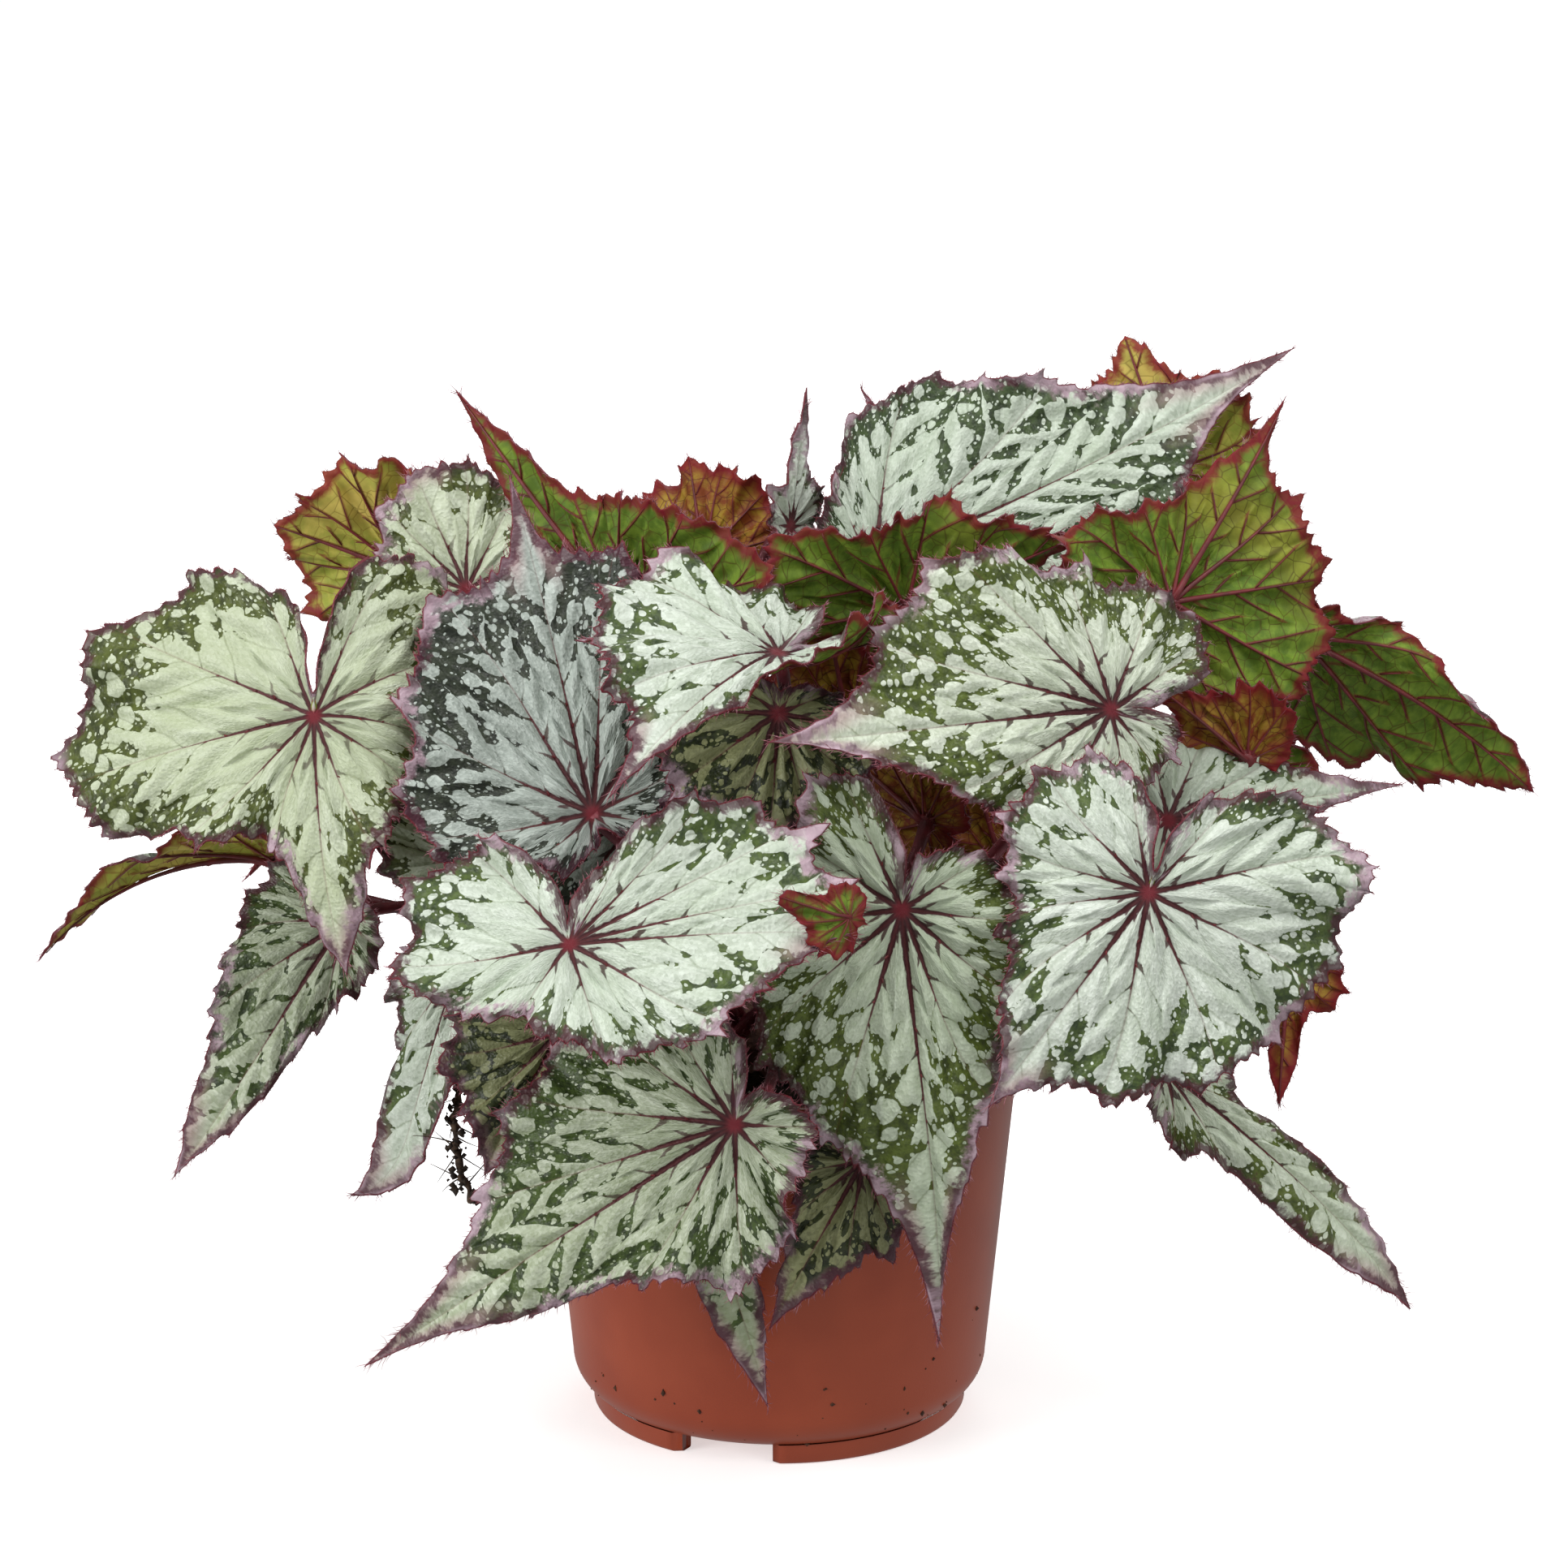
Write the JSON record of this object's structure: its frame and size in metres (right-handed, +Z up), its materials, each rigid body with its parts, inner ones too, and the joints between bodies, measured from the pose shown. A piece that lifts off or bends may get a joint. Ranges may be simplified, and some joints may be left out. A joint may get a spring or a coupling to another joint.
{
  "type": "potted rex begonia",
  "caption": "Rex begonia with silver and green spotted leaves on hairy red stalks, growing from soil in a tapered terracotta-coloured plastic nursery pot.",
  "frame": {"origin": "on the pot's axis, on the surface that the pot's foot stands on, under the middle of the foliage", "axes": "+Z up along the pot's axis, the plant's fuller front towards -Y, +X to the right as the front is seen"},
  "size_m": [0.4285, 0.2707, 0.2959],
  "materials": {
    "pot_plastic": "injection-moulded polypropylene, semi-matt, with specks of soil",
    "potting_soil": "loose crumbly peat with bits of bark",
    "leaf_stalk": "juicy dark red stalks and rootstock with pale red hairs",
    "leaf_blade": "living leaf, silvery and quilted above with a spotted green zone and a purple margin, olive below with red veins"
  },
  "bodies": {
    "root": {"pot": "pot_plastic", "soil": "potting_soil", "rootstock_and_stalks": "leaf_stalk", "leaf_crown": "leaf_blade", "leaf_inner_low": "leaf_blade", "leaf_top_under": "leaf_blade", "leaf_top_right": "leaf_blade", "leaf_centre_under": "leaf_blade", "leaf_left_top": "leaf_blade", "leaf_left_edge": "leaf_blade", "leaf_right_red": "leaf_blade", "leaf_right_under": "leaf_blade", "leaf_far_right": "leaf_blade", "leaf_centre_red": "leaf_blade", "leaf_left_inner": "leaf_blade", "leaf_right_mid": "leaf_blade", "leaf_right_low": "leaf_blade", "leaf_left_low": "leaf_blade", "leaf_left_small": "leaf_blade", "leaf_left_dark": "leaf_blade", "leaf_pot_tip": "leaf_blade", "leaf_low_dark": "leaf_blade", "leaf_mid_left": "leaf_blade", "leaf_left_big": "leaf_blade", "leaf_mid_right": "leaf_blade", "leaf_mid_top": "leaf_blade", "leaf_centre_dark": "leaf_blade", "leaf_front_right": "leaf_blade", "leaf_front_low": "leaf_blade", "leaf_front_drip": "leaf_blade", "leaf_front_left": "leaf_blade", "leaf_top_big": "leaf_blade", "leaf_right_dome": "leaf_blade", "leaf_left_under": "leaf_blade", "leaf_back_e": "leaf_blade", "leaf_back_red": "leaf_blade", "leaf_back_tip": "leaf_blade", "leaf_back_a": "leaf_blade", "leaf_back_d": "leaf_blade", "leaf_back_h": "leaf_blade", "leaf_back_f": "leaf_blade", "leaf_back_g": "leaf_blade", "leaf_back_b": "leaf_blade", "leaf_back_c": "leaf_blade", "leaf_top_back": "leaf_blade", "leaf_back_curl": "leaf_blade"}
  },
  "joints": []
}
